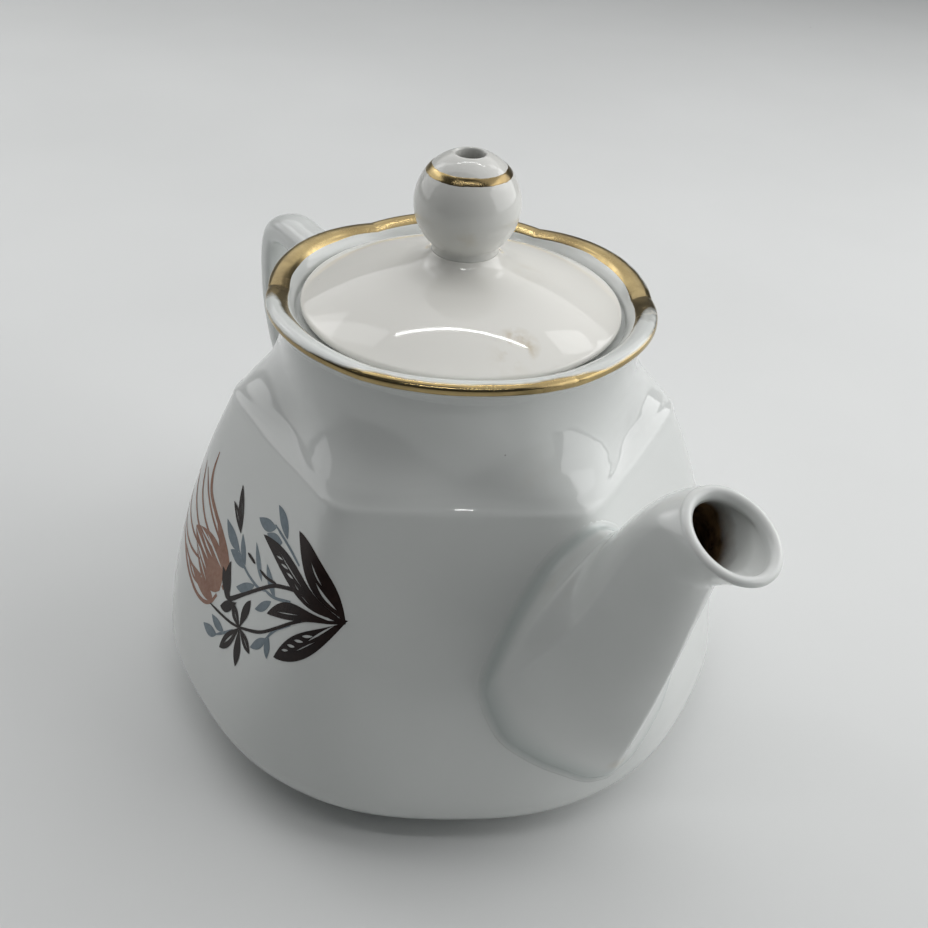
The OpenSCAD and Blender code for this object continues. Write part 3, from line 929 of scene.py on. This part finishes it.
def dark_shapes():
    """Black leaves, stems, star flower, calyx and buds, in millimetres on the panel."""
    spray = (38.6, 61.2)
    star = (11.6, 44.6)
    calyx = (3.2, 46.6)
    shapes = [
        leaf_with_veins(spray, (20.2, 75.4), 5.3, -1.7,
                        [(0.14, 0.46, 0.1, 0.5, 0.5), (0.40, 0.66, -0.3, -0.4, 0.35)], 0.58),
        leaf_with_veins((38.0, 61.5), (7.6, 67.0), 4.8, -2.0,
                        [(0.16, 0.44, 0.5, 0.7, 0.4), (0.46, 0.56, 0.3, 1.1, 0.5),
                         (0.56, 0.66, 0.2, 1.1, 0.5), (0.66, 0.75, 0.1, 0.9, 0.4),
                         (0.34, 0.74, -0.6, -0.5, 0.3)]),
        leaf_with_veins((37.4, 60.9), (19.7, 53.8), 3.9, -2.1, [(0.4, 0.8, 0.3, 0.2, 0.25)], 0.58),
        leaf_with_veins(spray, (26.7, 46.6), 5.8, 0.6,
                        [(0.08, 0.40, -0.6, -0.3, 0.45), (0.32, 0.44, -0.7, -1.9, 0.7),
                         (0.46, 0.57, -0.6, -1.9, 0.7), (0.60, 0.70, -0.4, -1.6, 0.7),
                         (0.72, 0.82, -0.3, -1.0, 0.6), (0.34, 0.62, 0.6, 0.5, 0.25)], 0.55),
        (stroke([spray, (32.8, 63.3), (28.2, 64.4), (20.6, 61.5), (17, 59.2), (9.6, 52.6), calyx],
                0.9, 1.0, 1.6), []),
        (stroke([spray, (32.7, 59.9), (28.8, 57.1), (24.4, 52.9), (19.4, 48.6), star], 0.8, 1, 0.7),
         []),
        (stroke([star, (7.4, 43.2), (2, 42.1), (-3.6, 41.2)], 0.65, 1, 0.5), []),
        (stroke([(4.3, 60.1), (8.6, 59.9)], 0.8), []),
        (stroke([(11.2, 59.9), (14.9, 60.1), (19.1, 61.2)], 0.7), []),
    ]
    for tip, width, veins in (((5.6, 47.4), 2.6, [(0.3, 0.7, 0, 0, 0.3)]),
                              ((12.2, 52.4), 3.0, []),
                              ((18.6, 42.0), 2.4, [(0.35, 0.8, 0, 0, 0.3)]),
                              ((14.8, 35.8), 3.0, []),
                              ((6.2, 35.3), 3.4, [(0.3, 0.75, 0, 0, 0.5)])):
        shapes.append(leaf_with_veins(star, tip, width, 0.2, veins, 0.58))
    shapes.append(leaf_with_veins(calyx, (-1.2, 54.6), 3.4, 0.9, [(0.3, 0.55, 0, 0, 0.3)], 0.42))
    shapes.append(leaf_with_veins((4.2, 46.9), (-3.6, 51.6), 2.8, 0.3, []))
    shapes.append(leaf_with_veins((7.2, 48.6), (1.0, 43.6), 2.8, 0.5, [], 0.6))
    shapes.append(leaf_with_veins((-1.4, 61.8), (-7.6, 71.2), 2.5, 0.3,
                                  [(0.15, 0.8, 0.2, 0.3, 0.25), (0.3, 0.7, -0.5, -0.5, 0.25)]))
    shapes.append(leaf_with_veins((-1.4, 61.8), (-8.9, 66.2), 1.9, -0.3, [(0.3, 0.8, 0, 0, 0.3)]))
    return shapes


def blue_shapes():
    """Pale grey-blue sprigs between the dark leaves."""
    leaves = [((0.8, 58.3), (-9.2, 61.2), 3.6, 0.6), ((5.0, 57.2), (-0.6, 62.3), 2.6, 0.4),
              ((4.8, 56.2), (-3.2, 56.4), 3.0, -0.4), ((13.6, 58.2), (6.0, 64.0), 2.2, 0.3),
              ((11.6, 71.0), (3.6, 69.0), 3.4, 0.5), ((17.2, 71.4), (9.4, 75.6), 3.4, -0.4),
              ((15.8, 69.7), (8.8, 68.0), 3.4, 0.4), ((11.4, 55.9), (4.6, 51.2), 3.0, 0.5),
              ((20.4, 58.4), (13.0, 62.6), 2.6, 0.3), ((19.6, 56.9), (14.8, 51.8), 2.6, 0.3),
              ((3.4, 37.0), (-4.0, 35.4), 3.2, 0.5), ((5.8, 39.6), (-1.4, 39.6), 2.8, 0.4),
              ((22.6, 48.9), (18.0, 43.5), 2.8, 0.2), ((23.2, 49.7), (24.8, 44.8), 2.6, -0.3)]
    stems = [[(0.4, 58.4), (5.3, 56.6), (12.6, 56.3), (16, 57.4)],
             [(10.8, 71.4), (19, 70.4), (24.6, 69.2)],
             [(15.4, 57.4), (20, 58.2), (26, 60.8)],
             [(22.2, 48.6), (24.6, 52.6), (28.5, 56.4)],
             [(3.2, 36.9), (6.2, 39.4), (9.4, 42.4)]]
    shapes = [(petal(root, tip, 0.85 * width, bow, 0.48), []) for root, tip, width, bow in leaves]
    shapes += [(stroke(points, 0.7, 0.5, 0.7), []) for points in stems]
    return shapes


def rose_shapes():
    """The open tulip: a filled base with pale hatching and the outlines of its petals."""
    base = (-1.6, 46.0)
    right = [(-0.8, 47.2), (0.0, 50.8), (-3.3, 54.2), (-9.1, 57.1), (-15.3, 59.4), (-20.6, 62.2),
             (-22.8, 66.3), (-22.9, 71.6)]
    left = [(-2.2, 44.6), (-3.7, 41.6), (-6.9, 39.6), (-11.9, 39.0), (-17.6, 40.1), (-22.3, 41.9),
            (-27.5, 44.6), (-33.5, 45.6)]
    hatch = [(0.40, 0.97, 2.6, 1.6, 0.8), (0.46, 0.98, 0.5, 0.3, 0.7),
             (0.42, 0.95, -1.4, -0.9, 0.7), (0.30, 0.80, 4.2, 2.9, 0.5),
             (0.15, 0.72, -3.6, -3.0, 0.6), (0.5, 0.9, -2.9, -1.7, 0.5)]
    shapes = [leaf_with_veins(base, (-22.5, 51.6), 11.0, -0.6, hatch, 0.40),
              (petal((-0.4, 49.6), (-13.5, 58.4), 3.6, -0.8, 0.36), []),
              (petal((-3.4, 42.4), (-17.5, 42.6), 3.2, 0.4, 0.34), []),
              (stroke(right, 1.3, 1.0, 0.3), []),
              (stroke(left, 1.0, 1.0, 0.3), [])]
    fans = [[(-8.6, 55.2), (-15.6, 57.6), (-21.4, 60.8), (-26.4, 65.6)],
            [(-12.4, 53.2), (-19.6, 55.6), (-25.2, 59.8), (-28.2, 66.4)],
            [(-14.6, 50.6), (-22.4, 53.0), (-28.6, 57.4), (-32.0, 63.0)],
            [(-15.6, 48.8), (-23.4, 49.6), (-30.4, 52.2), (-35.0, 56.6)],
            [(-15.0, 46.4), (-22.0, 45.9), (-29.2, 47.2), (-35.2, 50.6)],
            [(-12.0, 43.6), (-19.4, 42.9), (-26.0, 44.4)],
            [(-10.2, 41.6), (-16.0, 41.2), (-22.2, 43.6)]]
    shapes += [(stroke(points, 0.75, 0.8, 0.3), []) for points in fans]
    return shapes


def make_transfer(side, facing, inks):
    """The flower spray on one panel, a film for each ink."""
    node = "flower_transfer_" + side
    films = [print_film("transfer_{}_{}".format(side, ink), shapes, facing, lift, material)
             for ink, shapes, lift, material in inks]
    for film in films:
        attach(film, "pot")
    for film in films:
        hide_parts(node)


# ---- stage --------------------------------------------------------------------------

CAMERA_AZIMUTH = math.radians(-34)
CAMERA_DISTANCE = 0.25211
CAMERA_HEIGHT = 0.23748
CAMERA_PITCH = math.radians(34.49)
CAMERA_YAW = math.radians(0.75)
CAMERA_ROLL = math.radians(3.95)
CAMERA_LENS = 44.61
CAMERA_SENSOR = 36.0


def make_camera():
    """The camera: looking down past the spout, slightly rolled."""
    data = bpy.data.cameras.new("camera")
    data.lens = CAMERA_LENS
    data.sensor_width = CAMERA_SENSOR
    data.clip_start = 0.01
    data.dof.use_dof = False
    spin = Matrix.Rotation(CAMERA_AZIMUTH + math.pi / 2, 3, "Z")
    level = math.cos(CAMERA_PITCH)
    ahead = Vector((math.sin(CAMERA_YAW) * level, math.cos(CAMERA_YAW) * level,
                    -math.sin(CAMERA_PITCH)))
    across = Vector((math.cos(CAMERA_YAW), -math.sin(CAMERA_YAW), 0))
    above = across.cross(ahead)
    right = spin @ (across * math.cos(CAMERA_ROLL) + above * math.sin(CAMERA_ROLL))
    up = spin @ (above * math.cos(CAMERA_ROLL) - across * math.sin(CAMERA_ROLL))
    back = right.cross(up)
    camera = bpy.data.objects.new("camera", data)
    turn = Matrix((right, up, back)).transposed().to_4x4()
    place = Vector((CAMERA_DISTANCE * math.cos(CAMERA_AZIMUTH),
                    CAMERA_DISTANCE * math.sin(CAMERA_AZIMUTH), CAMERA_HEIGHT))
    camera.matrix_world = Matrix.Translation(place) @ turn
    bpy.context.scene.collection.objects.link(camera)
    bpy.context.scene.camera = camera


# Lights: name, azimuth in degrees, distance, height, width and depth in metres, watts.
LIGHTS = [("top_panel", 128, 0.38, 0.85, (2.8, 1.1), 9.4),
          ("left_panel", -146, 0.85, 0.46, (0.8, 0.7), 1.9),
          ("right_panel", 62, 0.90, 0.42, (1.3, 0.8), 6.2),
          ("left_window", -166, 0.62, 0.70, (0.10, 0.46), 0.16),
          ("right_window", 100, 0.62, 0.72, (0.12, 0.20), 0.12),
          ("back_strip", 144, 0.17, 0.57, (0.36, 0.006), 0.18),
          ("front_strip", -36, 0.25, 0.57, (0.50, 0.006), 0.32)]
LIGHT_AIM = Vector((0, 0, 0.08))
AMBIENT_COLOUR = rgb(0.93, 0.97, 1.0)
AMBIENT_STRENGTH = 0.06


def area_light(name, azimuth, distance, height, size, power):
    """A rectangular soft light at an azimuth and height, turned to the pot."""
    data = bpy.data.lights.new(name, "AREA")
    data.shape = "RECTANGLE"
    data.size, data.size_y = size
    data.energy = power
    light = bpy.data.objects.new(name, data)
    angle = math.radians(azimuth)
    place = Vector((distance * math.cos(angle), distance * math.sin(angle), height))
    turn = (LIGHT_AIM - place).to_track_quat("-Z", "Y").to_matrix().to_4x4()
    light.matrix_world = Matrix.Translation(place) @ turn
    bpy.context.scene.collection.objects.link(light)


def make_floor():
    """A pale seamless sweep: flat under the pot, rising far behind it."""
    graph = Graph("floor_white")
    tone = graph.mix(graph.ramp(graph.noise(5, 3), 0.3, 0.7), rgb(0.74, 0.75, 0.745),
                     rgb(0.70, 0.71, 0.705))
    dust = graph.math("MULTIPLY", graph.specks(42, 0.035, 0.05), 0.8)
    base = graph.mix(dust, tone, rgb(0.06, 0.055, 0.05))
    material = graph.finish(graph.principled(Base_Color=base, Roughness=0.75))
    profile = np.vstack([[(-1500, 0), (-300, 0), (0, 0), (500, 0), (1000, 0)],
                         arc((1000, 700), 700, -85, 0, 16), [(1700, 1600)]])
    across = np.linspace(-2200, 2200, 9)
    behind = CAMERA_AZIMUTH + math.pi
    points = []
    for distance, height in profile:
        for side in across:
            points.append((distance * math.cos(behind) - side * math.sin(behind),
                           distance * math.sin(behind) + side * math.cos(behind), height))
    columns = len(across)
    corners = [r * columns + c for r in range(len(profile) - 1) for c in range(columns - 1)]
    faces = [(i, i + 1, i + columns + 1, i + columns) for i in corners]
    return mesh_object("floor", points, faces, material)


def make_lighting():
    world = bpy.data.worlds.new("studio")
    world.use_nodes = True
    background = world.node_tree.nodes["Background"]
    background.inputs["Color"].default_value = AMBIENT_COLOUR
    background.inputs["Strength"].default_value = AMBIENT_STRENGTH
    bpy.context.scene.world = world
    for light in LIGHTS:
        area_light(*light)
    bpy.context.scene.view_settings.view_transform = "Standard"


def main():
    make_pot_body()
    make_rim_gilding()
    make_spout()
    make_handle()
    make_lid()
    make_knob()
    make_knob_gilding()
    black = print_colour("print_black", rgb(0.010, 0.006, 0.006), rgb(0.026, 0.014, 0.011))
    blue = print_colour("print_blue", rgb(0.15, 0.19, 0.22), rgb(0.23, 0.275, 0.305))
    rose = print_colour("print_rose", rgb(0.24, 0.12, 0.08), rgb(0.37, 0.215, 0.155))
    inks = [("blue", blue_shapes(), 0.04, blue), ("rose", rose_shapes(), 0.04, rose),
            ("black", dark_shapes(), 0.09, black)]
    make_transfer("front", math.radians(-90), inks)
    make_transfer("back", math.radians(90), inks)
    make_camera()
    make_lighting()
    make_floor()


main()
